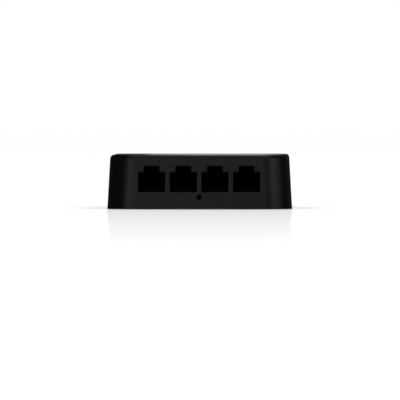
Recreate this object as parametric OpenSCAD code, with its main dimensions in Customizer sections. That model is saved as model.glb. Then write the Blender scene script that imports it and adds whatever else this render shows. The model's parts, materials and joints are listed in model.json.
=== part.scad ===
// Four-port desktop network switch: a drafted two-piece case around one circuit board.
// Frame: +X right and +Z up as seen from the ports, which face -Y. Origin: centre of the
// footprint, on the surface that the feet stand on. Millimetres.

/* [Case] */
// Width at the base
body_w = 81.6; // [80:0.2:110]
// Depth at the base, ports to power inlet
body_d = 81.6; // [80:0.2:110]
// Height over everything, feet included
body_h = 24; // [23:0.2:32]
// Thickness of the side walls
wall = 2; // [1.6:0.1:2.6]
// Thickness of the top wall
roof = 2; // [1.4:0.1:3]
// Lean of each side wall, in degrees
draft = 3.15; // [1:0.05:4]
// Radius of the upright corners
corner_r = 11.5; // [10:0.5:14]
// Radius of the rounding around the top
top_round = 1.75; // [0.5:0.25:3]

/* [Bottom cover] */
// How far the feet stand out below the cover
foot_h = 0.15; // [0.1:0.05:1.5]
// Thickness of the edge that shows below the case
cover_edge = 0.7; // [0.6:0.1:1.5]
// Thickness of the cover's floor
cover_t = 1.6; // [1.4:0.1:2.4]
// Diameter of a rubber foot
foot_d = 9; // [6:0.5:11]
// Distance between the two wall-mount keyholes
keyhole_spacing = 54; // [44:1:58]
// Diameter that a wall screw's head passes through
keyhole_d = 7.2; // [6:0.1:8]
// Width of the slot that holds the wall screw's shank
keyhole_slot_w = 3.8; // [3:0.1:5]

/* [Ports] */
// Number of network ports
port_count = 4; // [2:1:4]
// Distance from one port to the next
port_pitch = 13.97; // [13.97:0.01:14.4]
// Width of an opening in the case
port_w = 11.84; // [11.84:0.02:12.6]
// Height of an opening, without its latch notch
port_h = 8.82; // [8.2:0.02:9.4]
// Height of an opening's sill above the board
port_sill = 1.48; // [1:0.02:2]
// Width of the latch notch
notch_w = 6.8; // [6.2:0.1:8]
// Height of the latch notch
notch_h = 2.62; // [1.6:0.02:3]
// Diameter of the reset pinhole
pinhole_d = 2.2; // [1.4:0.1:3]

/* [Board] */
// Height of the board's upper face above the table
board_top = 6.15; // [5.6:0.05:8]
// Thickness of the board
board_t = 1.6; // [1:0.1:2]

/* [Jack] */
// Width of the cavity that a modular plug fits
plug_w = 11.84; // [11.8:0.01:12]
// Height of that cavity
plug_h = 6.9; // [6.7:0.05:7.2]
// Depth of that cavity
plug_depth = 12.5; // [12:0.1:13]
// Height of the jack above the board
jack_h = 13.3; // [13:0.1:14]
// Depth of the jack
jack_d = 16.5; // [16:0.1:18]

/* [Power inlet] */
// Diameter of the inlet's centre pin
pin_d = 2; // [1.65:0.05:2.5]
// Diameter of the inlet's bore
inlet_bore_d = 6.3; // [6:0.1:6.6]
// Distance of the inlet from the middle of the case
inlet_x = 22; // [10:0.5:22]

/* [Reset button] */
// Travel of the reset button
reset_travel = 0.25; // [0.15:0.05:0.3]

/* [Hidden] */
$fn = 64;
hull_fn = 48;
eps = 0.01;
gap = 0.15;              // between two pieces that are put together by hand
slip = 0.05;             // around something that slides or is pushed in

// ---- heights and faces that several pieces share
split_z = foot_h + cover_edge;                 // where the case meets the cover
floor_z = foot_h + cover_t;                    // inside face of the cover
ceiling_z = body_h - roof;
board_low = board_top - board_t;
reset_z = board_top - board_t / 2;
sill_z = board_top + port_sill;
pad_y = half_d(body_h) - wall;                 // upright inner face behind ports and inlet
edge_proud = 0.06;                             // the cover's edge beyond the case

function inset_at(z) = (z - foot_h) * tan(draft);
function half_w(z) = body_w / 2 - inset_at(z);
function half_d(z) = body_d / 2 - inset_at(z);
function port_x(i) = (i - (port_count - 1) / 2) * port_pitch;

// ---- board
board_front = -pad_y + gap + 0.6;
board_back = pad_y - gap - 0.6;
board_x = half_w(board_top) - wall - 1.2;
boss_clear = 0.5;

// ---- jack
jack_front = -pad_y + gap;
jack_back = jack_front + jack_d;
jack_w = port_pitch * (port_count - 1) + 15.24;
jack_lift = 0.5;                               // stand-off ribs under the jack
jack_z = board_top + jack_lift;
plug_floor = board_top + 2.25;
latch_w = 6.2;
latch_h = 1.6;
hook_w = 4.2;
hook_h = 1.4;
carrier_w = 11;
floor_slot_w = 8.8;
floor_slot_in = 2.3;
wire_w = 0.42;
wire_t = 0.3;
wire_pitch = 1.02;
wires = 8;
wire_pin_near = 9;
wire_pin_far = 11.5;
wire_run_z = board_top + 0.72;
wire_tip_z = plug_floor + 4;
comb_depth = 0.8;                              // of the slots that guide the wires' tips
comb_h = 5;
plate_nose = 3.1;
plate_t = 1.1;
pin_hole_r = 0.38;
peg_r = 1.5;
peg_in = 8.6;
peg_x = port_x(port_count - 1) - port_pitch / 2;

// ---- fastening
boss_r = 3;
boss_in = 8;                                   // from the case's base outline to a boss
boss_x = body_w / 2 - boss_in;
boss_y = body_d / 2 - boss_in;
screw_r = 1.25;
screw_l = 8;
screw_head_r = 2.4;
screw_head_h = 1.6;
head_web = 1.2;                                // cover left above a screw's head
boss_seat_z = foot_h + screw_head_h + 0.2 + head_web;
post_r = 2.5;
post_x = half_w(board_top) - wall - 5.3;
post_front_y = jack_back - 1.2;
post_rear_y = 20;
board_screw_r = 0.95;
board_screw_l = 4.6;
board_screw_head_r = 2;
board_screw_head_h = 1.4;
foot_x = 22;
foot_y = boss_y - 1.3;
foot_pocket = 0.8;
label_w = 36;
label_d = 20;
label_t = 0.15;
label_pocket = 0.25;
keyhole_slot_l = 7;                            // from the entry's centre to the slot's end centre
vent_w = 1.8;
vent_l = 12;
vent_pitch = 3.9;
vent_columns = 9;
vent_y = 20;

// ---- magnetics, one module for each port
mag_w = 13;
mag_d = 7.4;
mag_h = 5.6;
mag_y = jack_back + 9.6;
mag_leads = 12;
mag_lead_pitch = 1;
mag_reach = 1.3;

// ---- switch chip and its heat sink
chip_side = 14;
chip_t = 1.4;
chip_stand = 0.1;
chip_y = 6;
chip_lead_pitch = 0.8;
chip_leads = 16;
chip_reach = 1;
pad_t = 0.5;
sink_h = 6;
sink_base = 1.6;
sink_fins = 6;
sink_fin_t = 1;

// ---- status lights
led_y = jack_back + 2.3;
led_h = 0.6;
pipe_r = 1;
pipe_gap = 0.3;
pipe_bar_t = 1.2;
pipe_bar_w = 2.4;
power_led_x = port_x(port_count - 1) + 8.5;

// ---- power inlet
inlet_skin = 0.85;                             // around the bore, in the nose
inlet_nose_r = inlet_bore_d / 2 + inlet_skin;
inlet_w = 2 * inlet_nose_r + 1;
inlet_axis = 6.5;                              // height of the bore above the board
inlet_h = inlet_axis + inlet_w / 2;
inlet_recess = 0.9;                            // from the case's face to the nose
inlet_bore_l = 9.5;
inlet_block = 6;                               // behind the bore, around the pin's root
pin_tip = 1.4;                                 // from the nose to the pin's full diameter
pin_root_d = pin_d + 0.4;
tail_w = 1.6;
tail_t = 0.4;
tail_out = 0.8;                                // of the tails, below the board
tail_y = 1.2;                                  // from the block's back to the pin's tail
tail_hole_r = 1.1;
leaf_x = inlet_bore_d / 4;
leaf_w = 1.2;
leaf_t = 0.3;
leaf_l = 5.5;
leaf_back = 7.5;                               // from the inlet's front to the spring's tail
inlet_z = board_top + inlet_axis;
inlet_face = half_d(inlet_z) - inlet_recess;
inlet_front = pad_y - gap;
inlet_low = inlet_face - inlet_bore_l - inlet_block;

// ---- reset switch, sunk in a notch of the board's front edge
reset_w = 4.5;
reset_d = 3.2;
reset_cover_t = 0.15;
reset_cover_w = 8.4;
reset_y = board_front + 0.15;
reset_skin = 0.5;
stem_w = 2.1;
stem_h = 0.9;
stem_out = 1.3;
foot_w = 3;
foot_l = 0.9;
pocket_d = 2;
dome_t = 0.1;
dome_clear = 0.05;

module corners(x, y) {
    for (sx = [-1, 1], sy = [-1, 1]) translate([sx * x, sy * y, 0]) children();
}

// Rounded rectangle, centred, with true arcs
module rounded(w, d, r) {
    square([w - 2 * r, d], center = true);
    square([w, d - 2 * r], center = true);
    for (sx = [-1, 1], sy = [-1, 1]) translate([sx * (w / 2 - r), sy * (d / 2 - r)]) circle(r);
}

module slot_2d(w, l) {
    square([w, l - w], center = true);
    for (s = [-1, 1]) translate([0, s * (l - w) / 2]) circle(d = w);
}

// The case's drafted block between two heights, drawn in by inset, rounded at its top
module drafted(z0, z1, inset, round) {
    r = corner_r - inset;
    steps = 5;
    level = [for (i = [0:steps]) 90 * i / steps];
    top = z1 - round;
    hull() {
        corners(half_w(z0) - inset - r, half_d(z0) - inset - r)
            translate([0, 0, z0]) cylinder(h = eps, r1 = r, r2 = r - 1, $fn = hull_fn);
        corners(half_w(top) - inset - r, half_d(top) - inset - r)
            for (i = [0:steps - 1])
                translate([0, 0, top + round * sin(level[i])])
                    cylinder(
                        h = round * (sin(level[i + 1]) - sin(level[i])),
                        r1 = r - round * (1 - cos(level[i])),
                        r2 = r - round * (1 - cos(level[i + 1])),
                        $fn = hull_fn
                    );
    }
}

// A strip of even thickness along a path, as an outline
function unit(v) = v / norm(v);
function left_of(v) = [-v.y, v.x];
function mitre(p, i, h) =
    let (
        a = unit(left_of(i > 0 ? p[i] - p[i - 1] : p[1] - p[0])),
        b = i < len(p) - 1 ? unit(left_of(p[i + 1] - p[i])) : a,
        m = unit(a + b)
    ) m * (h / (m * b));
function strip(p, t) = concat(
    [for (i = [0:len(p) - 1]) p[i] + mitre(p, i, t / 2)],
    [for (i = [len(p) - 1:-1:0]) p[i] - mitre(p, i, t / 2)]
);

// That strip in the YZ plane, w wide along X
module ribbon(p, t, w) {
    rotate([90, 0, 90]) linear_extrude(w, center = true) polygon(strip(p, t));
}

// A gull-wing lead: out of a body's side at height rise, down to the board, and a foot
module gull_lead(rise, reach, w) {
    t = 0.18;
    ribbon([[0, rise], [reach * 0.35, rise], [reach * 0.55, t / 2], [reach, t / 2]], t, w);
}

// Rows of leads along the two long sides of a body, side by side along X
module lead_rows(count, pitch, half_depth, rise, reach, w) {
    for (side = [0, 180], i = [0:count - 1])
        rotate([0, 0, side])
            translate([(i - (count - 1) / 2) * pitch, half_depth, 0]) gull_lead(rise, reach, w);
}

module at_ports() {
    for (i = [0:port_count - 1]) translate([port_x(i), 0, 0]) children();
}

// One opening in the port wall, seen from the ports
module port_outline() {
    corner = 0.4;
    translate([0, port_h / 2]) rounded(port_w, port_h, corner);
    translate([0, port_h + notch_h / 2 - 0.5]) rounded(notch_w, notch_h + 1, corner);
}

// Straight cut along Y of the outline drawn in X and Z, from y0 to y1
module through_y(y0, y1) {
    translate([0, y1, 0]) rotate([90, 0, 0]) linear_extrude(y1 - y0) children();
}

module upper_case() {
    pad_w = jack_w + 2;
    pad_z = jack_z + 0.3;
    color([0.035, 0.035, 0.037]) {
        difference() {
            union() {
                difference() {
                    drafted(split_z, body_h, 0, top_round);
                    drafted(split_z - 1, ceiling_z, wall, 0.6);
                }
                // uprights behind the port wall and the inlet
                intersection() {
                    drafted(split_z, body_h - roof / 2, wall / 2, 0.6);
                    union() {
                        translate([-pad_w / 2, -body_d / 2, pad_z])
                            cube([pad_w, body_d / 2 - pad_y, ceiling_z - pad_z]);
                        translate([inlet_x - inlet_w / 2 - 1, pad_y, board_top + 0.6])
                            cube([inlet_w + 2, body_d / 2 - pad_y, inlet_h + 1]);
                    }
                }
                corners(boss_x, boss_y) case_boss();
            }
            at_ports() translate([0, 0, sill_z]) through_y(-body_d, -pad_y + 1) port_outline();
            translate([0, -body_d / 2 - 1, reset_z]) rotate([-90, 0, 0])
                cylinder(h = body_d / 2 - pad_y + 2, d = pinhole_d);
            translate([inlet_x, pad_y - 1, inlet_z]) rotate([-90, 0, 0])
                cylinder(h = body_d / 2 - pad_y + 2, r = inlet_nose_r + gap);
            for (x = pipe_places()) translate([x, led_y, ceiling_z - 1])
                cylinder(h = roof + 2, r = pipe_r + slip);
        }
    }
}

// Screw boss from the ceiling down to the cover's own boss
module case_boss() {
    difference() {
        translate([0, 0, boss_seat_z]) cylinder(h = ceiling_z - boss_seat_z + roof / 2, r = boss_r);
        translate([0, 0, boss_seat_z - 1]) cylinder(h = screw_l + 1, r = screw_r + slip);
    }
}

module bottom_cover() {
    lip = wall + gap;
    groove = 0.12;
    color([0.04, 0.04, 0.042]) difference() {
        union() {
            drafted(foot_h, split_z - groove, -edge_proud, 0.05);
            drafted(foot_h + groove, split_z, 0.25, 0.02);
            translate([0, 0, foot_h + eps]) linear_extrude(cover_t - eps)
                rounded(
                    2 * (half_w(floor_z) - lip), 2 * (half_d(floor_z) - lip), corner_r - lip
                );
            corners(boss_x, boss_y) translate([0, 0, foot_h + eps])
                cylinder(h = boss_seat_z - foot_h - eps, r = boss_r);
            board_posts() translate([0, 0, foot_h + eps])
                cylinder(h = board_low - foot_h - eps, r = post_r);
        }
        corners(boss_x, boss_y) {
            translate([0, 0, foot_h - 1]) cylinder(h = screw_head_h + 1.2, r = screw_head_r + gap);
            cylinder(h = boss_seat_z + 1, r = screw_r + 0.15);
        }
        board_posts() translate([0, 0, foot_h + 0.8])
            cylinder(h = board_low, r = board_screw_r + slip);
        corners(foot_x, foot_y) translate([0, 0, foot_h - 1])
            cylinder(h = foot_pocket + 1, d = foot_d + 2 * gap);
        translate([0, 0, foot_h - 1]) linear_extrude(label_pocket + 1)
            rounded(label_w + 0.6, label_d + 0.6, 1.5);
        for (s = [-1, 1]) translate([s * keyhole_spacing / 2, 0, 0]) keyhole_cut();
        vents();
    }
}

module board_posts() {
    for (s = [-1, 1], y = [post_front_y, post_rear_y]) translate([s * post_x, y, 0]) children();
}

module keyhole_cut() {
    cylinder(h = floor_z + 1, d = keyhole_d);
    linear_extrude(floor_z + 1) translate([0, keyhole_slot_l / 2])
        slot_2d(keyhole_slot_w, keyhole_slot_l + keyhole_slot_w);
}

module vents() {
    for (sy = [-1, 1], i = [0:vent_columns - 1])
        translate([(i - (vent_columns - 1) / 2) * vent_pitch, sy * vent_y, 0])
            linear_extrude(floor_z + 1) slot_2d(vent_w, vent_l);
}

module rubber_feet() {
    color([0.07, 0.07, 0.07]) corners(foot_x, foot_y) {
        cylinder(h = foot_h, d1 = foot_d - 2 * foot_h, d2 = foot_d);
        translate([0, 0, foot_h]) cylinder(h = foot_pocket, d = foot_d);
    }
}

// Pan-head screw with a cross recess, head down, shank along +Z from z = 0
module screw(shank_r, shank_l, head_r, head_h) {
    difference() {
        union() {
            translate([0, 0, -head_h]) cylinder(h = head_h * 0.4, r1 = head_r * 0.8, r2 = head_r);
            translate([0, 0, -head_h * 0.6]) cylinder(h = head_h * 0.6, r = head_r);
            cylinder(h = shank_l - shank_r, r = shank_r);
            translate([0, 0, shank_l - shank_r]) cylinder(h = shank_r, r1 = shank_r, r2 = 0.2);
        }
        for (a = [0, 90]) rotate([0, 0, a]) translate([0, 0, -head_h])
            cube([head_r * 1.15, 0.5, head_h * 1.2], center = true);
    }
}

module cover_screws() {
    color("silver") corners(boss_x, boss_y) translate([0, 0, foot_h + screw_head_h + 0.2])
        screw(screw_r, screw_l, screw_head_r, screw_head_h);
}

module rating_label() {
    color([0.75, 0.75, 0.76]) translate([0, 0, foot_h + label_pocket - label_t])
        linear_extrude(label_t) rounded(label_w, label_d, 1.2);
}

module main_board() {
    color([0.02, 0.16, 0.09]) difference() {
        translate([-board_x, board_front, board_low])
            cube([2 * board_x, board_back - board_front, board_t]);
        // room for the case's bosses at the four corners
        corners(boss_x - boss_r - boss_clear + 10, boss_y - boss_r - boss_clear + 10)
            translate([0, 0, board_top]) cube([20, 20, 4 * board_t], center = true);
        board_posts() cylinder(h = board_top + 1, r = board_screw_r + 0.3);
        at_ports() wire_places() translate([0, 0, board_low - 1])
            cylinder(h = board_t + 2, r = pin_hole_r);
        for (s = [-1, 1]) translate([s * peg_x, jack_front + peg_in, board_low - 1])
            cylinder(h = board_t + 2, r = peg_r + slip);
        translate([-reset_w / 2 - 0.1, board_front - 1, board_low - 1])
            cube([reset_w + 0.2, reset_y + reset_d + 0.1 - board_front + 1, board_t + 2]);
        inlet_tails() translate([0, 0, board_low - 1]) cylinder(h = board_t + 2, r = tail_hole_r);
    }
}

module board_screws() {
    color("silver") board_posts() translate([0, 0, board_top]) mirror([0, 0, 1])
        screw(board_screw_r, board_screw_l, board_screw_head_r, board_screw_head_h);
}

// Puts its children where each wire's pin goes through the board, for one port
module wire_places() {
    for (i = [0:wires - 1]) translate([wire_x(i), jack_front + wire_pin(i), 0]) children();
}

function wire_x(i) = (i - (wires - 1) / 2) * wire_pitch;
function wire_pin(i) = i % 2 == 0 ? wire_pin_near : wire_pin_far;

module plug_outline() {
    translate([-plug_w / 2, 0]) square([plug_w, plug_h]);
    translate([-latch_w / 2, 0]) square([latch_w, plug_h + latch_h]);
    translate([-hook_w / 2, 0]) square([hook_w, plug_h + latch_h + hook_h]);
}

module jack_housing() {
    pocket_w = carrier_w + 2 * gap;
    pocket_top = plug_floor + plug_h + latch_h + hook_h;
    rib = 1.2;
    color([0.03, 0.03, 0.03]) {
        difference() {
            translate([-jack_w / 2, jack_front, jack_z])
                cube([jack_w, jack_d, jack_h - jack_lift]);
            at_ports() {
                translate([0, 0, plug_floor])
                    through_y(jack_front - 1, jack_front + plug_depth) plug_outline();
                // the way in for the carrier, from behind and below
                translate([-pocket_w / 2, jack_front + plug_depth - eps, jack_z - 1])
                    cube([pocket_w, jack_d, pocket_top - jack_z + 1]);
                translate([-floor_slot_w / 2, jack_front + floor_slot_in, jack_z - 1])
                    cube([floor_slot_w, jack_d, plug_floor - jack_z + 1 + eps]);
            }
        }
        for (s = [-1, 1]) {
            translate([s * (jack_w / 2 - rib / 2) - rib / 2, jack_front + 0.8, board_top])
                cube([rib, jack_d - 1.6, jack_lift + eps]);
            translate([s * peg_x, jack_front + peg_in, board_low + 0.2])
                cylinder(h = jack_z - board_low, r = peg_r);
        }
    }
}

// The insulator plates that the wires run under and around
module wire_plates() {
    color([0.05, 0.05, 0.05]) at_ports()
        translate([-floor_slot_w / 2 + gap, jack_front + plate_nose, wire_run_z + wire_t / 2 + slip])
            cube([floor_slot_w - 2 * gap, plug_depth + gap - plate_nose, plate_t]);
}

// The blocks that close the jack behind the plugs, with a comb for the wires' tips
module rear_blocks() {
    front = jack_front + plug_depth + gap;
    top = plug_floor + plug_h + latch_h + hook_h - gap;
    color([0.05, 0.05, 0.05]) at_ports() difference() {
        translate([-carrier_w / 2, front, jack_z])
            cube([carrier_w, jack_back - front, top - jack_z]);
        for (i = [0:wires - 1]) translate([wire_x(i), front, wire_tip_z])
            cube([wire_w + 2 * gap, 2 * comb_depth, comb_h], center = true);
    }
}

// One wire's path from its pin, forward under the plate, round its nose and up into the jack
function wire_path(i) = [
    [jack_front + wire_pin(i), board_low - 1],
    [jack_front + wire_pin(i), wire_run_z],
    [jack_front + plate_nose - 0.1, wire_run_z],
    [jack_front + plate_nose - 0.45, wire_run_z + 0.4],
    [jack_front + plate_nose - 0.35, wire_run_z + plate_t + 0.36],
    [jack_front + plug_depth + comb_depth / 2, wire_tip_z]
];

module contact_wires() {
    color([0.83, 0.66, 0.3]) at_ports()
        for (i = [0:wires - 1]) translate([wire_x(i), 0, 0]) ribbon(wire_path(i), wire_t, wire_w);
}

module at_magnetics() {
    at_ports() translate([0, mag_y, board_top]) children();
}

module magnetics_modules() {
    color([0.06, 0.06, 0.065]) at_magnetics() translate([-mag_w / 2, -mag_d / 2, 0.2])
        cube([mag_w, mag_d, mag_h]);
}

module magnetics_leads() {
    color("silver") at_magnetics()
        lead_rows(mag_leads, mag_lead_pitch, mag_d / 2, 1.6, mag_reach, 0.45);
}

module switch_chip() {
    color([0.05, 0.05, 0.055]) translate([-chip_side / 2, chip_y - chip_side / 2, board_top + chip_stand])
        difference() {
            cube([chip_side, chip_side, chip_t]);
            translate([1.2, 1.2, chip_t - 0.05]) cylinder(h = 1, r = 0.4);
        }
}

module switch_chip_leads() {
    color("silver") translate([0, chip_y, board_top]) for (a = [0, 90]) rotate([0, 0, a])
        lead_rows(chip_leads, chip_lead_pitch, chip_side / 2, 0.8, chip_reach, 0.3);
}

module thermal_pad() {
    color([0.5, 0.55, 0.6]) translate([-chip_side / 2 + 0.5, chip_y - chip_side / 2 + 0.5, chip_top()])
        cube([chip_side - 1, chip_side - 1, pad_t]);
}

function chip_top() = board_top + chip_stand + chip_t;

module heat_sink() {
    fin_pitch = (chip_side - sink_fin_t) / (sink_fins - 1);
    color([0.72, 0.73, 0.75]) translate([-chip_side / 2, chip_y - chip_side / 2, chip_top() + pad_t]) {
        cube([chip_side, chip_side, sink_base]);
        for (i = [0:sink_fins - 1]) translate([i * fin_pitch, 0, 0])
            cube([sink_fin_t, chip_side, sink_h]);
    }
}

// ---- small parts on the board
crystal_at = [-22, 7];
memory_at = [-22, 18];
regulator_at = [[8, 24], [8, 31]];
inductor_at = [[-1, 24.5], [-1, 31.5]];
capacitor_at = [[-10, 25], [-10, 32.2]];

module on_board(p) {
    translate([p.x, p.y, board_top]) children();
}

module crystal_base() {
    color([0.1, 0.1, 0.1]) on_board(crystal_at) linear_extrude(0.7) rounded(11.4, 4.7, 0.5);
}

module crystal_can() {
    color("silver") on_board(crystal_at) translate([0, 0, 0.7]) {
        linear_extrude(0.4) rounded(10.9, 4.5, 2.2);
        linear_extrude(3.2) rounded(10.2, 3.8, 1.85);
    }
}

module small_chip(w, d, t) {
    translate([-w / 2, -d / 2, 0.1]) cube([w, d, t]);
}

module memory_chip() {
    color([0.06, 0.06, 0.06]) on_board(memory_at) small_chip(5, 4, 1.45);
}

module memory_chip_leads() {
    color("silver") on_board(memory_at) lead_rows(4, 1.27, 2, 0.8, 1.05, 0.4);
}

module buck_regulators() {
    color([0.06, 0.06, 0.06]) for (p = regulator_at) on_board(p) small_chip(5, 4, 1.45);
}

module buck_regulator_leads() {
    color("silver") for (p = regulator_at) on_board(p) lead_rows(4, 1.27, 2, 0.8, 0.95, 0.4);
}

module power_inductors() {
    color([0.2, 0.2, 0.21]) for (p = inductor_at) on_board(p) difference() {
        linear_extrude(3) rounded(6, 6, 1.2);
        translate([0, 0, 2.8]) cylinder(h = 1, r = 2.1);
    }
}

module capacitor_bases() {
    color([0.05, 0.05, 0.05]) for (p = capacitor_at) on_board(p) linear_extrude(1)
        polygon([[-3.3, -3.3], [2.2, -3.3], [3.3, -2.2], [3.3, 2.2], [2.2, 3.3], [-3.3, 3.3]]);
}

module capacitor_cans() {
    color([0.75, 0.75, 0.77]) for (p = capacitor_at) on_board(p) translate([0, 0, 1]) {
        cylinder(h = 0.8, r = 3.15);
        translate([0, 0, 0.8]) cylinder(h = 0.6, r = 2.9);
        translate([0, 0, 1.4]) cylinder(h = 5, r = 3.15);
    }
}

// A chip resistor or capacitor, 0603 size
module chip_0603(h) {
    translate([-0.8, -0.4, 0]) cube([1.6, 0.8, h]);
}

module resistor_chips() {
    row_y = mag_y + mag_d / 2 + mag_reach + 1.2;
    color([0.08, 0.08, 0.09]) at_ports() for (i = [0:3])
        translate([(i - 1.5) * 2.6, row_y, board_top]) chip_0603(0.45);
}

module decoupling_chips() {
    ring = chip_side / 2 + chip_reach + 1.2;
    color([0.6, 0.48, 0.36]) translate([0, chip_y, board_top]) for (a = [90, -90], i = [0:4])
        rotate([0, 0, a]) translate([(i - 2) * 2.8, ring, 0]) chip_0603(0.8);
}

// ---- power inlet
module inlet_tails() {
    translate([inlet_x, inlet_low + tail_y, 0]) children();
    translate([inlet_x + leaf_x, inlet_front - leaf_back, 0]) children();
}

module along_inlet(y) {
    translate([inlet_x, y, inlet_z]) rotate([-90, 0, 0]) children();
}

module power_inlet_housing() {
    color([0.03, 0.03, 0.03]) difference() {
        union() {
            translate([inlet_x - inlet_w / 2, inlet_low, board_top])
                cube([inlet_w, inlet_front - inlet_low, inlet_h]);
            along_inlet(inlet_front - eps) cylinder(h = inlet_face - inlet_front + eps, r = inlet_nose_r);
        }
        along_inlet(inlet_face - inlet_bore_l) cylinder(h = inlet_bore_l + 1, d = inlet_bore_d);
        along_inlet(inlet_low - 1) cylinder(h = inlet_block + 2, d = pin_root_d + 2 * slip);
        // channels for the pin's tail and for the spring below the bore
        translate([inlet_x - tail_w / 2 - gap, inlet_low - 1, board_top - 1])
            cube([tail_w + 2 * gap, 1 + tail_y + tail_t, inlet_axis + 1]);
        translate([inlet_x + leaf_x - leaf_w / 2 - gap, inlet_front - leaf_back - 0.6, board_top - 1])
            cube([leaf_w + 2 * gap, leaf_l + 1.2, inlet_axis - 1]);
    }
}

module power_inlet_pin() {
    color([0.83, 0.66, 0.3]) {
        along_inlet(inlet_low + tail_y - tail_t / 2)
            cylinder(h = inlet_block - tail_y + tail_t / 2, d = pin_root_d);
        along_inlet(inlet_face - inlet_bore_l - eps)
            cylinder(h = inlet_bore_l - pin_tip + eps, d = pin_d);
        along_inlet(inlet_face - pin_tip - eps) cylinder(h = 0.6, d1 = pin_d, d2 = pin_d - 0.6);
        translate([inlet_x - tail_w / 2, inlet_low + tail_y - tail_t / 2, board_low - tail_out])
            cube([tail_w, tail_t, inlet_z - board_low + tail_out]);
    }
}

// The side contact: up from the board, then back along the bore's lower side
module power_inlet_spring() {
    y = inlet_front - leaf_back;
    top = inlet_z - inlet_bore_d / 2 + 0.35;
    color([0.8, 0.8, 0.78]) translate([inlet_x + leaf_x, 0, 0]) ribbon(
        [[y, board_low - tail_out], [y, top - 1], [y + 0.6, top - 0.5], [y + leaf_l, top]],
        leaf_t, leaf_w
    );
}

// ---- status lights
function pipe_places() = concat([for (i = [0:port_count - 1]) port_x(i)], [power_led_x]);

module status_leds() {
    color([0.9, 0.9, 0.8]) for (x = pipe_places()) translate([x, led_y, board_top]) chip_0603(led_h);
}

module light_pipe() {
    low = board_top + led_h + pipe_gap;
    bar_z = ceiling_z - pipe_bar_t - slip;
    places = pipe_places();
    first = places[0];
    color([0.85, 0.87, 0.88, 0.6]) {
        for (x = places) translate([x, led_y, low]) cylinder(h = body_h - 0.05 - low, r = pipe_r);
        translate([first, led_y - pipe_bar_w / 2, bar_z])
            cube([power_led_x - first, pipe_bar_w, pipe_bar_t]);
    }
}

// ---- reset switch
module reset_switch_base() {
    inner_w = foot_w + 2 * slip;
    inner_h = stem_h + 2 * slip;
    color([0.08, 0.08, 0.08]) translate([0, reset_y, reset_z]) difference() {
        translate([-reset_w / 2, 0, -board_t / 2]) cube([reset_w, reset_d, board_t]);
        translate([-inner_w / 2, reset_skin, -inner_h / 2]) cube([inner_w, pocket_d, inner_h]);
        translate([-stem_w / 2 - slip, -1, -inner_h / 2])
            cube([stem_w + 2 * slip, 2, inner_h]);
    }
}

module reset_switch_cover() {
    color("silver") translate([-reset_cover_w / 2, reset_y + 0.2, board_top])
        cube([reset_cover_w, reset_d - 0.4, reset_cover_t]);
}

// A bowed spring leaf that stands against the pocket's back wall, clear of the plunger by
// its travel
module reset_switch_dome() {
    back = reset_y + reset_skin + pocket_d;
    bow = pocket_d - slip - foot_l - reset_travel - dome_clear - dome_t;
    reach = foot_w / 2;
    r = (reach * reach + bow * bow) / (2 * bow);
    color([0.8, 0.76, 0.66]) translate([0, back + r - bow, reset_z - stem_h / 2])
        linear_extrude(stem_h) intersection() {
            difference() {
                circle(r + dome_t, $fn = 96);
                circle(r, $fn = 96);
            }
            translate([-reach, -2 * r]) square([2 * reach, r + bow]);
        }
}

module reset_plunger() {
    inside = reset_y + reset_skin + slip;
    color([0.1, 0.1, 0.1]) {
        translate([-stem_w / 2, reset_y - stem_out, reset_z - stem_h / 2])
            cube([stem_w, inside - reset_y + stem_out + eps, stem_h]);
        translate([-foot_w / 2, inside, reset_z - stem_h / 2]) cube([foot_w, foot_l, stem_h]);
    }
}

upper_case();
bottom_cover();
rubber_feet();
cover_screws();
rating_label();
main_board();
board_screws();
jack_housing();
wire_plates();
rear_blocks();
contact_wires();
magnetics_modules();
magnetics_leads();
switch_chip();
switch_chip_leads();
thermal_pad();
heat_sink();
crystal_base();
crystal_can();
memory_chip();
memory_chip_leads();
buck_regulators();
buck_regulator_leads();
power_inductors();
capacitor_cans();
capacitor_bases();
resistor_chips();
decoupling_chips();
power_inlet_housing();
power_inlet_pin();
power_inlet_spring();
status_leds();
light_pipe();
reset_switch_base();
reset_switch_cover();
reset_switch_dome();
reset_plunger();
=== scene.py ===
import json
import math

import bmesh
import bpy
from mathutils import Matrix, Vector


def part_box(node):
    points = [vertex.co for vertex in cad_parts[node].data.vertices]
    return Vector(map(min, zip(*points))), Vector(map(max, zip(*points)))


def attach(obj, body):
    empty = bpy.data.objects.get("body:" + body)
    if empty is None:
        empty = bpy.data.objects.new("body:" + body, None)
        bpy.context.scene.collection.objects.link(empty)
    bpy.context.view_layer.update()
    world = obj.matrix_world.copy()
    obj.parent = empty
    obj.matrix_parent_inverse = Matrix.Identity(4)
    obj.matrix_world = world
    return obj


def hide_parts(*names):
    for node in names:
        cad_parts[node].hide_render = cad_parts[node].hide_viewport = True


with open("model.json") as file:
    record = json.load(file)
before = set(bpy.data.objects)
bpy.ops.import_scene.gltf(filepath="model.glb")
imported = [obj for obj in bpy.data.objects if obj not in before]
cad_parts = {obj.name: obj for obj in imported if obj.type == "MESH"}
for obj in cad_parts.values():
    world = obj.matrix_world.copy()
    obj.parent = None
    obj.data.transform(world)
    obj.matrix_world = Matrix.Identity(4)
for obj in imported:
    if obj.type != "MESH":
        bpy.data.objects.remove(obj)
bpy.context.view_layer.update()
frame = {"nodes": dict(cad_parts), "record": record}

MM = 0.001
MERGE = 1e-7                    # vertices this near, in metres, are one
record = frame["record"]
mounts = {m["name"]: m for m in record["mounts"]}
scene = bpy.context.scene


# ---------------------------------------------------------------- camera
# almost level and from far off, fitted to the edges in the photo
VIEW_AZIMUTH = math.radians(0.94)
VIEW_ELEVATION = math.radians(0.883)
VIEW_DISTANCE = 3.0
LENS = 604.2

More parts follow.
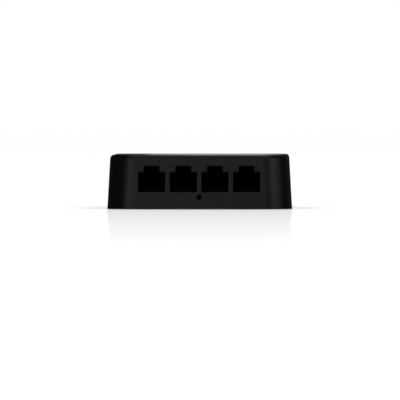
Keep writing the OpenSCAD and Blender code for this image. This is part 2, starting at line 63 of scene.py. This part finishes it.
aim = Vector((-0.00025, 0.0, 0.00354))
camera_data = bpy.data.cameras.new("camera")
camera_data.lens = LENS
camera_data.sensor_width = 36
camera_data.clip_start = 0.1
camera_data.clip_end = 50
camera = bpy.data.objects.new("camera", camera_data)
scene.collection.objects.link(camera)
camera.location = aim + VIEW_DISTANCE * Vector((
    math.sin(VIEW_AZIMUTH) * math.cos(VIEW_ELEVATION),
    -math.cos(VIEW_AZIMUTH) * math.cos(VIEW_ELEVATION),
    math.sin(VIEW_ELEVATION),
))
camera.rotation_euler = (aim - camera.location).to_track_quat("-Z", "Y").to_euler()
scene.camera = camera
scene.view_settings.view_transform = "Standard"
scene.view_settings.look = "None"


# ---------------------------------------------------------------- materials
class Material:
    """A node material whose noise is measured in millimetres of the object itself."""

    def __init__(self, name):
        self.material = bpy.data.materials.new(name)
        self.material.use_nodes = True
        self.tree = self.material.node_tree
        self.shader = self.tree.nodes["Principled BSDF"]
        self.place = self.node("ShaderNodeTexCoord").outputs["Object"]

    def node(self, kind, **values):
        node = self.tree.nodes.new(kind)
        for key, value in values.items():
            setattr(node, key, value)
        return node

    def link(self, a, b):
        self.tree.links.new(a, b)

    def set(self, **values):
        for key, value in values.items():
            self.shader.inputs[key.replace("_", " ")].default_value = value

    def stretched(self, x, y, z):
        """The place, with x, y and z times as many marks along each axis."""
        mapping = self.node("ShaderNodeMapping")
        mapping.inputs["Scale"].default_value = (x, y, z)
        self.link(self.place, mapping.inputs["Vector"])
        return mapping.outputs["Vector"]

    def noise(self, size_mm, detail=2.0, rough=0.5, place=None):
        """Noise whose marks are about size_mm across."""
        noise = self.node("ShaderNodeTexNoise")
        noise.inputs["Scale"].default_value = 1 / (size_mm * MM)
        noise.inputs["Detail"].default_value = detail
        noise.inputs["Roughness"].default_value = rough
        self.link(place or self.place, noise.inputs["Vector"])
        return noise.outputs["Fac"]

    def ramp(self, value, low, high, start=0.3, end=0.7):
        """value from start to end becomes a number from low to high."""
        span = self.node("ShaderNodeMapRange")
        limits = {"From Min": start, "From Max": end, "To Min": low, "To Max": high}
        for key, number in limits.items():
            span.inputs[key].default_value = number
        self.link(value, span.inputs["Value"])
        return span.outputs["Result"]

    def colour(self, value, dark, light, start=0.3, end=0.7):
        """The base colour goes from dark to light as value goes from start to end."""
        mix = self.node("ShaderNodeMix", data_type="RGBA")
        self.link(self.ramp(value, 0, 1, start, end), mix.inputs["Factor"])
        mix.inputs["A"].default_value = (*dark, 1)
        mix.inputs["B"].default_value = (*light, 1)
        self.link(mix.outputs["Result"], self.shader.inputs["Base Color"])

    def roughness(self, value, low, high):
        self.link(self.ramp(value, low, high), self.shader.inputs["Roughness"])

    def bump(self, *layers):
        """Each layer is a height value and its depth in millimetres."""
        normal = None
        for height, depth in layers:
            bump = self.node("ShaderNodeBump")
            bump.inputs["Distance"].default_value = depth * MM
            bump.inputs["Strength"].default_value = 1
            self.link(height, bump.inputs["Height"])
            if normal:
                self.link(normal, bump.inputs["Normal"])
            normal = bump.outputs["Normal"]
        self.link(normal, self.shader.inputs["Normal"])


def moulded(name, dark, light, rough=(0.42, 0.5), grain=0.35, depth=0.012, ior=1.5):
    """Moulded plastic with a spark-eroded grain, a little uneven in tone and gloss."""
    m = Material(name)
    fine = m.noise(grain, detail=3, rough=0.6)
    m.colour(m.noise(9, detail=2), dark, light)
    m.roughness(m.noise(2.5, detail=3), *rough)
    m.bump((fine, depth), (m.noise(14, detail=1), depth * 1.5))
    m.set(IOR=ior)
    return m.material


def metal(name, dark, light, rough=(0.2, 0.32), brushed=None, grain=0.4, depth=0.004):
    """Plated or drawn metal; brushed gives the stretch of its marks along X, Y and Z."""
    m = Material(name)
    place = m.stretched(*brushed) if brushed else None
    marks = m.noise(grain, detail=4, rough=0.65, place=place)
    m.colour(m.noise(3, detail=3), dark, light)
    m.roughness(marks, *rough)
    m.bump((marks, depth))
    m.set(Metallic=1.0)
    return m.material


def ceramic(name, dark, light, rough=(0.5, 0.65)):
    """Pressed and fired powder: fine grained and dull."""
    m = Material(name)
    grain = m.noise(0.12, detail=4, rough=0.7)
    m.colour(grain, dark, light)
    m.roughness(grain, *rough)
    m.bump((grain, 0.006))
    return m.material


def soft_rubber():
    """Dull, dark grey rubber with a slight tooth."""
    m = Material("foot_rubber")
    fine = m.noise(0.25, detail=4, rough=0.7)
    m.colour(m.noise(3, detail=3), (0.012, 0.012, 0.012), (0.022, 0.022, 0.021))
    m.roughness(fine, 0.72, 0.9)
    m.bump((fine, 0.02))
    m.set(IOR=1.45)
    return m.material


def solder_mask():
    """Green mask over copper tracks: the tracks stand a little proud and show lighter."""
    m = Material("board_green")
    cells = m.node("ShaderNodeTexVoronoi", feature="DISTANCE_TO_EDGE")
    cells.inputs["Scale"].default_value = 1 / (2.6 * MM)
    cells.inputs["Randomness"].default_value = 0.35
    m.link(m.place, cells.inputs["Vector"])
    tracks = m.ramp(cells.outputs["Distance"], 1, 0, 0.06, 0.12)
    m.colour(tracks, (0.006, 0.05, 0.024), (0.012, 0.1, 0.045), 0, 1)
    m.roughness(m.noise(1.5, detail=2), 0.22, 0.34)
    m.bump((tracks, 0.03), (m.noise(0.5, detail=3), 0.006))
    m.set(IOR=1.55)
    return m.material


def clear_plastic():
    """Milky clear plastic that carries light from the lamps to the roof."""
    m = Material("clear_plastic")
    cloud = m.noise(0.5, detail=3)
    m.colour(cloud, (0.62, 0.65, 0.66), (0.78, 0.8, 0.8))
    m.roughness(m.noise(0.2, detail=3), 0.28, 0.45)
    m.bump((cloud, 0.01))
    m.set(IOR=1.49, Transmission_Weight=0.55)
    return m.material


def label_film():
    """Blank pale film with a faint fibre."""
    m = Material("label_film")
    fibre = m.noise(0.3, detail=4, rough=0.7)
    m.colour(m.noise(6, detail=3), (0.42, 0.42, 0.43), (0.5, 0.5, 0.505))
    m.roughness(fibre, 0.35, 0.5)
    m.bump((fibre, 0.006), (m.noise(12, detail=1), 0.03))
    return m.material


BLACK = (0.001, 0.001, 0.001)
NEAR_BLACK = (0.0018, 0.0018, 0.0018)
HARDLY_GLOSSY = 1.12            # refractive index that leaves the ports' inside black
finishes = {
    "case_black": moulded(
        "case_black", (0.0026, 0.0025, 0.0028), (0.0034, 0.0033, 0.0036), (0.3, 0.36)
    ),
    "cover_black": moulded(
        "cover_black", (0.0028, 0.0027, 0.003), (0.004, 0.0039, 0.0042), (0.4, 0.5), 0.5, 0.02
    ),
    "jack_black": moulded(
        "jack_black", BLACK, NEAR_BLACK, (0.5, 0.6), 0.8, 0.006, HARDLY_GLOSSY
    ),
    "carrier_black": moulded(
        "carrier_black", BLACK, NEAR_BLACK, (0.5, 0.6), 0.6, 0.008, HARDLY_GLOSSY
    ),
    "plunger_black": moulded(
        "plunger_black", BLACK, (0.002, 0.002, 0.002), (0.5, 0.6), 0.4, 0.006, HARDLY_GLOSSY
    ),
    "chip_black": moulded(
        "chip_black", (0.009, 0.009, 0.0095), (0.014, 0.014, 0.0145), (0.5, 0.65), 0.12, 0.01
    ),
    "led_body": moulded(
        "led_body", (0.5, 0.5, 0.42), (0.62, 0.62, 0.52), (0.2, 0.3), 0.3, 0.003
    ),
    "foot_rubber": soft_rubber(),
    "pad_grey": moulded(
        "pad_grey", (0.2, 0.24, 0.27), (0.26, 0.3, 0.33), (0.7, 0.85), 0.4, 0.02
    ),
    "zinc_screw": metal("zinc_screw", (0.42, 0.42, 0.4), (0.55, 0.55, 0.53), (0.25, 0.4)),
    # gold darkened well below real plating: a painted shade that keeps the contacts black inside
    # the ports
    "gold_plate": metal(
        "gold_plate", (0.16, 0.11, 0.04), (0.24, 0.17, 0.065), (0.26, 0.38),
        grain=0.2, depth=0.002,
    ),
    "tin_plate": metal(
        "tin_plate", (0.5, 0.5, 0.49), (0.62, 0.62, 0.6), (0.28, 0.42), grain=0.2
    ),
    "can_steel": metal(
        "can_steel", (0.5, 0.5, 0.49), (0.6, 0.6, 0.59), (0.2, 0.3), (1, 8, 8)
    ),
    # steel darkened to near black: a painted shade that keeps the reset pinhole's inside black
    "painted_shade_steel": metal(
        "painted_shade_steel", (0.035, 0.035, 0.035), (0.05, 0.05, 0.05), (0.5, 0.62), (1, 8, 8)
    ),
    "nickel_pin": metal(
        "nickel_pin", (0.55, 0.53, 0.48), (0.66, 0.64, 0.59), (0.16, 0.26), (8, 1, 8)
    ),
    "spring_steel": metal(
        "spring_steel", (0.4, 0.39, 0.35), (0.5, 0.49, 0.45), (0.25, 0.35), (1, 6, 6)
    ),
    "sink_aluminium": metal(
        "sink_aluminium", (0.5, 0.51, 0.53), (0.6, 0.61, 0.63), (0.3, 0.42), (6, 1, 6)
    ),
    "ferrite": ceramic("ferrite", (0.03, 0.03, 0.032), (0.05, 0.05, 0.052)),
    "resistor_black": ceramic(
        "resistor_black", (0.008, 0.008, 0.01), (0.02, 0.02, 0.022), (0.3, 0.4)
    ),
    "capacitor_tan": ceramic("capacitor_tan", (0.3, 0.2, 0.12), (0.38, 0.27, 0.17)),
    "board_green": solder_mask(),
    "clear_plastic": clear_plastic(),
    "label_film": label_film(),
}
slot_of = {s["node"]: s["material_slot"] for s in record["subparts"]}


# ---------------------------------------------------------------- mesh tools
def new_object(name, mesh):
    obj = bpy.data.objects.new(name, mesh)
    scene.collection.objects.link(obj)
    return obj


def from_bmesh(name, bm):
    bmesh.ops.recalc_face_normals(bm, faces=bm.faces)
    mesh = bpy.data.meshes.new(name)
    bm.to_mesh(mesh)
    bm.free()
    return new_object(name, mesh)


def loft(name, rings):
    """A closed solid through rings of equally many points, capped at both ends."""
    bm = bmesh.new()
    rows = [[bm.verts.new(p) for p in ring] for ring in rings]
    n = len(rows[0])
    for a, b in zip(rows, rows[1:]):
        for i in range(n):
            bm.faces.new((a[i], a[(i + 1) % n], b[(i + 1) % n], b[i]))
    bm.faces.new(rows[0][::-1])
    bm.faces.new(rows[-1])
    return from_bmesh(name, bm)


def cut(target, tools):
    """Takes each tool out of target with an exact boolean, then removes the tool."""
    for tool in tools:
        modifier = target.modifiers.new("cut", "BOOLEAN")
        modifier.operation = "DIFFERENCE"
        modifier.solver = "EXACT"
        modifier.object = tool
        bpy.context.view_layer.update()
        graph = bpy.context.evaluated_depsgraph_get()
        mesh = bpy.data.meshes.new_from_object(target.evaluated_get(graph))
        target.modifiers.clear()
        spent = [target.data, tool.data]
        target.data = mesh
        bpy.data.objects.remove(tool)
        for old in spent:
            bpy.data.meshes.remove(old)


def dissolve_spare_vertices(bm):
    """Removes vertices in the middle of a straight edge, which export as empty triangles."""
    straight = math.radians(1)
    spare = [
        v for v in bm.verts if len(v.link_edges) == 2 and v.calc_edge_angle(0) < straight
    ]
    bmesh.ops.dissolve_verts(bm, verts=spare)


def finish_mesh(obj, sharp):
    """Merges doubles and smooths all edges but those sharper than that many degrees."""
    bm = bmesh.new()
    bm.from_mesh(obj.data)
    bmesh.ops.remove_doubles(bm, verts=bm.verts, dist=MERGE)
    bmesh.ops.dissolve_degenerate(bm, edges=bm.edges, dist=MERGE)
    dissolve_spare_vertices(bm)
    limit = math.radians(sharp)
    for face in bm.faces:
        face.smooth = True
    for edge in bm.edges:
        edge.smooth = len(edge.link_faces) == 2 and edge.calc_face_angle(0) < limit
    bm.to_mesh(obj.data)
    bm.free()
    weigh = obj.modifiers.new("weigh", "WEIGHTED_NORMAL")
    weigh.keep_sharp = True


def round_edges(obj, width):
    """Rounds every edge sharper than 40 degrees by that many metres."""
    bevel = obj.modifiers.new("round", "BEVEL")
    bevel.width = width
    bevel.segments = 2
    bevel.limit_method = "ANGLE"
    bevel.angle_limit = math.radians(40)
    bevel.use_clamp_overlap = True


def dress(obj, slot, stands_for):
    """Gives a new piece its finish and body, and hides the CAD nodes it stands for."""
    obj.data.materials.clear()
    obj.data.materials.append(finishes[slot])
    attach(obj, "switch")
    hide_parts(*stands_for)


def arc(cx, cy, r, start, end, steps):
    """Points of an arc, with angles in degrees."""
    return [
        (cx + r * math.cos(math.radians(a)), cy + r * math.sin(math.radians(a)))
        for a in (start + (end - start) * i / steps for i in range(steps + 1))
    ]


def rounded_square(half, r, z):
    """A square's outline at height z, with its corners rounded."""
    points = []
    for sx, sy, start in ((1, 1, 0), (-1, 1, 90), (-1, -1, 180), (1, -1, 270)):
        points += arc(sx * (half - r), sy * (half - r), r, start, start + 90, CORNER_STEPS)
    return [(x, y, z) for x, y in points]


# ---------------------------------------------------------------- the case's sizes
case_low, case_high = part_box("upper_case")
cover_low, cover_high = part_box("bottom_cover")
jack_low, jack_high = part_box("jack_housing")
BASE_Z = cover_low.z
SPLIT_Z = case_low.z
TOP_Z = case_high.z
DRAFT = math.tan(math.radians(3.15))
BASE_HALF = case_high.x + (SPLIT_Z - BASE_Z) * DRAFT
CORNER = 11.5 * MM
CORNER_STEPS = 24
TOP_ROUND = 1.75 * MM
TOP_STEPS = 8
WALL = 2.0 * MM
ROOF = 2.0 * MM
ROOM_ROUND = 0.6 * MM           # where the room's walls meet its ceiling
ROOM_STEPS = 4
GAP = 0.15 * MM                 # round a part that comes through the case


def half_at(z):
    """Half the case's width and depth at height z."""
    return BASE_HALF - (z - BASE_Z) * DRAFT


def drafted_block(name, z0, z1, inset, rounding, steps):
    """The case's drafted form from z0 to z1, inset from its outside, with a rounded top."""
    top = z1 - rounding
    rings = [rounded_square(half_at(z) - inset, CORNER - inset, z) for z in (z0, top)]
    for i in range(1, steps + 1):
        a = math.radians(90 * i / steps)
        inward = inset + rounding * (1 - math.cos(a))
        z = top + rounding * math.sin(a)
        rings.append(rounded_square(half_at(top) - inward, CORNER - inward, z))
    return loft(name, rings)


def block(name, lo, hi):
    """A plain block between two opposite corners, to cut with."""
    outline = ((lo[0], lo[1]), (hi[0], lo[1]), (hi[0], hi[1]), (lo[0], hi[1]))
    return loft(name, [[(x, y, z) for x, y in outline] for z in (lo[2], hi[2])])


def turned(name, x, y, profile, steps):
    """An upright turned solid: profile is a list of (height, radius)."""
    rings = []
    for z, r in profile:
        angles = [2 * math.pi * i / steps for i in range(steps)]
        rings.append([(x + r * math.cos(a), y + r * math.sin(a), z) for a in angles])
    return loft(name, rings)


def lip(depth, radius):
    """How far an opening's edge flares, depth metres below the surface."""
    if depth >= radius:
        return 0.0
    depth = max(depth, 0.0)
    return radius - math.sqrt(radius ** 2 - (radius - depth) ** 2)


# ---------------------------------------------------------------- upper case
PORT_W = 11.84 * MM
PORT_H = 8.82 * MM
NOTCH_W = 6.8 * MM
NOTCH_H = 2.62 * MM
PORT_CORNER = 0.4 * MM
PORT_COUNT = 4
PORT_PAD_SIDE = 1.0 * MM        # thick wall beside the jack
PORT_PAD_RISE = 0.8 * MM        # and from how far above the board
PINHOLE_R = 1.1 * MM
NOSE_R = 4.0 * MM               # the power inlet's nose
INLET_PAD_HALF = 5.5 * MM
INLET_PAD_RISE = (0.6 * MM, 12.6 * MM)
LIP = 0.22 * MM                 # rounding of an opening's edge
LIP_DEPTHS = (0.0, 0.03, 0.08, 0.14, 0.22)
CUT_DEPTHS = [depth * MM for depth in (-3.0, *LIP_DEPTHS, 6.0)]
ROD_R = 1.05 * MM               # holes for the light pipe's rods
ROD_LIP = 0.12 * MM
ROD_LIP_DEPTHS = (0.12, 0.05, 0.015, 0.0)
ROD_DEEP = 4.0 * MM
BOSS_IN = 8.0 * MM              # from the base's outline to a screw boss
BOSS_SEAT_Z = BASE_Z + 3.0 * MM
BOSS_R = 3.0 * MM
PILOT_R = 1.3 * MM
SCREW_L = 8.0 * MM
board_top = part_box("main_board")[1].z
SILL_Z = board_top + 1.48 * MM
ports = [mounts[f"port_{i + 1}"]["pos_m"][0] for i in range(PORT_COUNT)]
inlet = Vector(mounts["power_inlet"]["pos_m"])
plunger_low, plunger_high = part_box("reset_plunger")
RESET_Z = (plunger_low.z + plunger_high.z) / 2


def port_outline(x, grow):
    """A port's points in X and Z, from the sill up, grown outward on every side."""
    w, n = PORT_W / 2 + grow, NOTCH_W / 2 + grow
    bottom = SILL_Z - grow
    shoulder = SILL_Z + PORT_H + grow
    top = SILL_Z + PORT_H + NOTCH_H + grow
    r = PORT_CORNER + grow
    inner = max(PORT_CORNER - grow, 0.1 * MM)
    right = (
        arc(w - r, bottom + r, r, -90, 0, 4)
        + arc(w - r, shoulder - r, r, 0, 90, 4)
        + arc(n + inner, shoulder + inner, inner, 270, 180, 4)
        + arc(n - r, top - r, r, 0, 90, 4)
    )
    return [(x + px, z) for px, z in right + [(-px, z) for px, z in reversed(right)]]


def round_outline(x, z, r, steps=40):
    """A round hole's points in X and Z."""
    angles = [2 * math.pi * i / steps for i in range(steps)]
    return [(x + r * math.cos(a), z + r * math.sin(a)) for a in angles]


def wall_cutter(side, outline):
    """A hole with a rounded edge through the port wall (side -1) or the rear wall (side 1).

    outline is a function from how far the hole is grown to its points in X and Z.
    """
    return loft("wall_cutter", [
        [(x, side * (half_at(z) - depth), z) for x, z in outline(lip(depth, LIP))]
        for depth in CUT_DEPTHS
    ])


def thick_walls():
    """The walls behind the ports' edges and round the power inlet, which the room leaves."""
    inner_y = half_at(TOP_Z) - WALL
    outer_y = BASE_HALF + MM
    jack_half = (jack_high.x - jack_low.x) / 2 + PORT_PAD_SIDE
    low, high = (board_top + rise for rise in INLET_PAD_RISE)
    return [
        block(
            "front_pad",
            (-jack_half, -outer_y, board_top + PORT_PAD_RISE),
            (jack_half, -inner_y, TOP_Z),
        ),
        block(
            "rear_pad",
            (inlet.x - INLET_PAD_HALF, inner_y, low),
            (inlet.x + INLET_PAD_HALF, outer_y, high),
        ),
    ]


def at_bosses(name, profile, steps):
    """The same turned solid at each of the four screw bosses."""
    at = BASE_HALF - BOSS_IN
    return [
        turned(name, sx * at, sy * at, profile, steps) for sx in (-1, 1) for sy in (-1, 1)
    ]


def rod_holes():
    """Holes in the roof for the light pipe's rods: one over each port, one for power."""
    pipe_low, pipe_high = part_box("light_pipe")
    pipe_y = (pipe_low.y + pipe_high.y) / 2
    profile = [(TOP_Z - ROD_DEEP, ROD_R)]
    for depth in ROD_LIP_DEPTHS:
        profile.append((TOP_Z - depth * MM, ROD_R + lip(depth * MM, ROD_LIP)))
    profile.append((TOP_Z + MM, ROD_R + ROD_LIP))
    power_x = pipe_high.x - MM
    return [turned("rod_hole", x, pipe_y, profile, 32) for x in ports + [power_x]]


def build_case():
    """The upper case: a drafted shell with room inside, screw bosses and its openings."""
    shell = drafted_block("case_shell", SPLIT_Z, TOP_Z, 0.0, TOP_ROUND, TOP_STEPS)
    room = drafted_block("room", SPLIT_Z - MM, TOP_Z - ROOF, WALL, ROOM_ROUND, ROOM_STEPS)
    bosses = at_bosses("boss", [(BOSS_SEAT_Z, BOSS_R), (TOP_Z, BOSS_R)], 32)
    cut(room, thick_walls() + bosses)
    tools = [room]
    tools += [wall_cutter(-1, lambda grow: port_outline(x, grow)) for x in ports]
    tools.append(wall_cutter(-1, lambda grow: round_outline(0.0, RESET_Z, PINHOLE_R + grow)))
    nose_r = NOSE_R + GAP
    tools.append(wall_cutter(1, lambda grow: round_outline(inlet.x, inlet.z, nose_r + grow)))
    pilot = [(BOSS_SEAT_Z - MM, PILOT_R), (BOSS_SEAT_Z + SCREW_L, PILOT_R)]
    tools += at_bosses("pilot", pilot, 24)
    tools += rod_holes()
    cut(shell, tools)
    finish_mesh(shell, sharp=30)
    return shell


dress(build_case(), "case_black", stands_for=["upper_case"])


# ---------------------------------------------------------------- CAD nodes that keep their shape
# how far each node's edges are rounded, in millimetres
rounded = {
    "bottom_cover": 0.1,
    "jack_housing": 0.08,
    "wire_plates": 0.06,
    "rear_blocks": 0.06,
    "magnetics_modules": 0.2,
    "switch_chip": 0.08,
    "heat_sink": 0.08,
    "memory_chip": 0.06,
    "buck_regulators": 0.06,
    "power_inductors": 0.1,
    "capacitor_cans": 0.12,
    "capacitor_bases": 0.12,
    "crystal_can": 0.15,
    "crystal_base": 0.08,
    "rubber_feet": 0.15,
    "rating_label": 0.03,
    "cover_screws": 0.06,
    "board_screws": 0.05,
    "power_inlet_housing": 0.08,
    "power_inlet_pin": 0.05,
    "main_board": 0.04,
    "reset_switch_base": 0.04,
    "reset_switch_cover": 0.02,
    "reset_plunger": 0.05,
    "decoupling_chips": 0.05,
    "resistor_chips": 0.03,
    "status_leds": 0.05,
    "thermal_pad": 0.05,
}

# the switch's steel cover is darkened to near black, a painted shade that keeps the pinhole in
# front of it black
own_finish = {"reset_switch_cover": "painted_shade_steel"}
for name, node in frame["nodes"].items():
    slot = slot_of[name]
    finish = finishes[own_finish.get(name, slot)]
    if node.data.materials:
        for i in range(len(node.data.materials)):
            node.data.materials[i] = finish
    else:
        node.data.materials.append(finish)
    if name in rounded and not node.hide_render:
        round_edges(node, rounded[name] * MM)


# ---------------------------------------------------------------- floor
def stage_material(name, albedo, glow, gloss, rough, fade_from, fade_to):
    """A pale surface, part matt and part lit by itself, that mirrors softly near the object.

    Only its upper side shows, so that the object can be seen from below as well.
    """
    m = Material(name)
    m.tree.nodes.remove(m.shader)
    matt = m.node("ShaderNodeBsdfDiffuse")
    matt.inputs["Color"].default_value = (albedo, albedo, albedo, 1)
    light = m.node("ShaderNodeEmission")
    light.inputs["Strength"].default_value = glow
    both = m.node("ShaderNodeAddShader")
    m.link(matt.outputs[0], both.inputs[0])
    m.link(light.outputs[0], both.inputs[1])
    mirror = m.node("ShaderNodeBsdfGlossy")
    mirror.inputs["Color"].default_value = (1, 1, 1, 1)
    mirror.inputs["Roughness"].default_value = rough
    reach = m.node("ShaderNodeVectorMath", operation="LENGTH")
    m.link(m.place, reach.inputs[0])
    mix = m.node("ShaderNodeMixShader")
    m.link(m.ramp(reach.outputs["Value"], gloss, 0, fade_from, fade_to), mix.inputs[0])
    m.link(both.outputs[0], mix.inputs[1])
    m.link(mirror.outputs[0], mix.inputs[2])
    clear = m.node("ShaderNodeMixShader")
    m.link(m.node("ShaderNodeNewGeometry").outputs["Backfacing"], clear.inputs[0])
    m.link(mix.outputs[0], clear.inputs[1])
    m.link(m.node("ShaderNodeBsdfTransparent").outputs[0], clear.inputs[2])
    m.link(clear.outputs[0], m.tree.nodes["Material Output"].inputs["Surface"])
    return m.material


ROOM = 6.0                      # half the floor's side, in metres
floor_mesh = bpy.data.meshes.new("floor")
floor_mesh.from_pydata(
    [(-ROOM, -ROOM, 0), (ROOM, -ROOM, 0), (ROOM, ROOM, 0), (-ROOM, ROOM, 0)], [], [(0, 1, 2, 3)]
)
floor_mesh.materials.append(stage_material(
    "floor_white", albedo=0.8, glow=0.168, gloss=0.285, rough=0.045, fade_from=0.07, fade_to=1.09
))
floor = new_object("floor", floor_mesh)
floor.visible_glossy = False
floor.visible_shadow = False


# ---------------------------------------------------------------- light
def only_lights(*objs):
    """A collection of the objects that a light is to reach, and no others."""
    receivers = bpy.data.collections.new("receivers")
    for obj in objs:
        receivers.objects.link(obj)
    return receivers


def softbox(
    name, azimuth, elevation, distance, width, height, radiance,
    target=(0, 0, 0.012), receivers=None,
):
    """An area light seen from the target at that azimuth and elevation, in degrees.

    Azimuth 0 is the ports' side. receivers is a collection of the only objects it lights.
    """
    data = bpy.data.lights.new(name, "AREA")
    data.shape = "RECTANGLE"
    data.size = width
    data.size_y = height
    data.energy = radiance * math.pi * width * height
    light = bpy.data.objects.new(name, data)
    scene.collection.objects.link(light)
    a, e = math.radians(azimuth), math.radians(elevation)
    target = Vector(target)
    light.location = target + distance * Vector((
        math.sin(a) * math.cos(e), -math.cos(a) * math.cos(e), math.sin(e)
    ))
    light.rotation_euler = (target - light.location).to_track_quat("-Z", "Y").to_euler()
    light.visible_camera = False
    if receivers:
        light.light_linking.receiver_collection = receivers


# name, azimuth, elevation, distance, width, height, radiance
SOFTBOXES = (
    ("front_fill", 12, 11, 2.2, 2.5, 0.85, 0.1),
    ("left_panel", -17, 11, 2.2, 1.69, 0.85, 0.48),
    ("right_panel", 50, 11, 2.2, 2.05, 0.85, 0.42),
    ("left_strip", -24, 11, 2.1, 0.5, 0.85, 0.29),
    ("right_strip", 42, 11, 2.1, 0.5, 0.85, 0.38),
    ("front_top", 14, 45, 1.6, 1.7, 1.1, 0.25),
    ("rear_strip", 138, 14, 2.2, 0.6, 0.9, 0.12),
    ("overhead", 0, 82, 1.6, 1.0, 1.0, 0.5),
)
for settings in SOFTBOXES:
    softbox(*settings)

# two small cards behind the top draw the pale line along its front edge
case_only = only_lights(bpy.data.objects["case_shell"])
softbox("top_card", 180, 12, 0.3, 0.06, 0.12, 0.72, (0, 0, TOP_Z), case_only)
softbox("edge_card", 180, 40, 0.32, 0.066, 0.22, 1.5, (0.012, 0, TOP_Z), case_only)

# the underside has its own light, which reaches it through the floor
UNDERSIDE = ("bottom_cover", "rubber_feet", "cover_screws", "rating_label")
underside_only = only_lights(*(frame["nodes"][name] for name in UNDERSIDE))
softbox("under_fill", 0, -70, 1.6, 1.6, 1.6, 0.8, receivers=underside_only)
softbox("under_rim", 180, -35, 1.6, 0.8, 0.8, 0.8, receivers=underside_only)

# a white room lights the floor and nothing else
floor_only = only_lights(floor)
half_way_up = (0, 0, ROOM / 2)
for azimuth in (0, 90, 180, 270):
    name = f"room_wall_{azimuth}"
    softbox(name, azimuth, 0, ROOM, 2 * ROOM, ROOM, 1.0, half_way_up, floor_only)
softbox("room_ceiling", 0, 90, ROOM, 2 * ROOM, 2 * ROOM, 1.0, (0, 0, 0), floor_only)

# the camera sees a white sky; the object gets only a little light from it
CAMERA_SKY, OBJECT_SKY = 1.0, 0.025
world = bpy.data.worlds.new("studio")
scene.world = world
world.use_nodes = True
tree = world.node_tree
path = tree.nodes.new("ShaderNodeLightPath")
level = tree.nodes.new("ShaderNodeMix")
level.data_type = "FLOAT"
level.inputs["A"].default_value = OBJECT_SKY
level.inputs["B"].default_value = CAMERA_SKY
tree.links.new(path.outputs["Is Camera Ray"], level.inputs["Factor"])
background = tree.nodes["Background"]
background.inputs["Color"].default_value = (1, 1, 1, 1)
tree.links.new(level.outputs["Result"], background.inputs["Strength"])
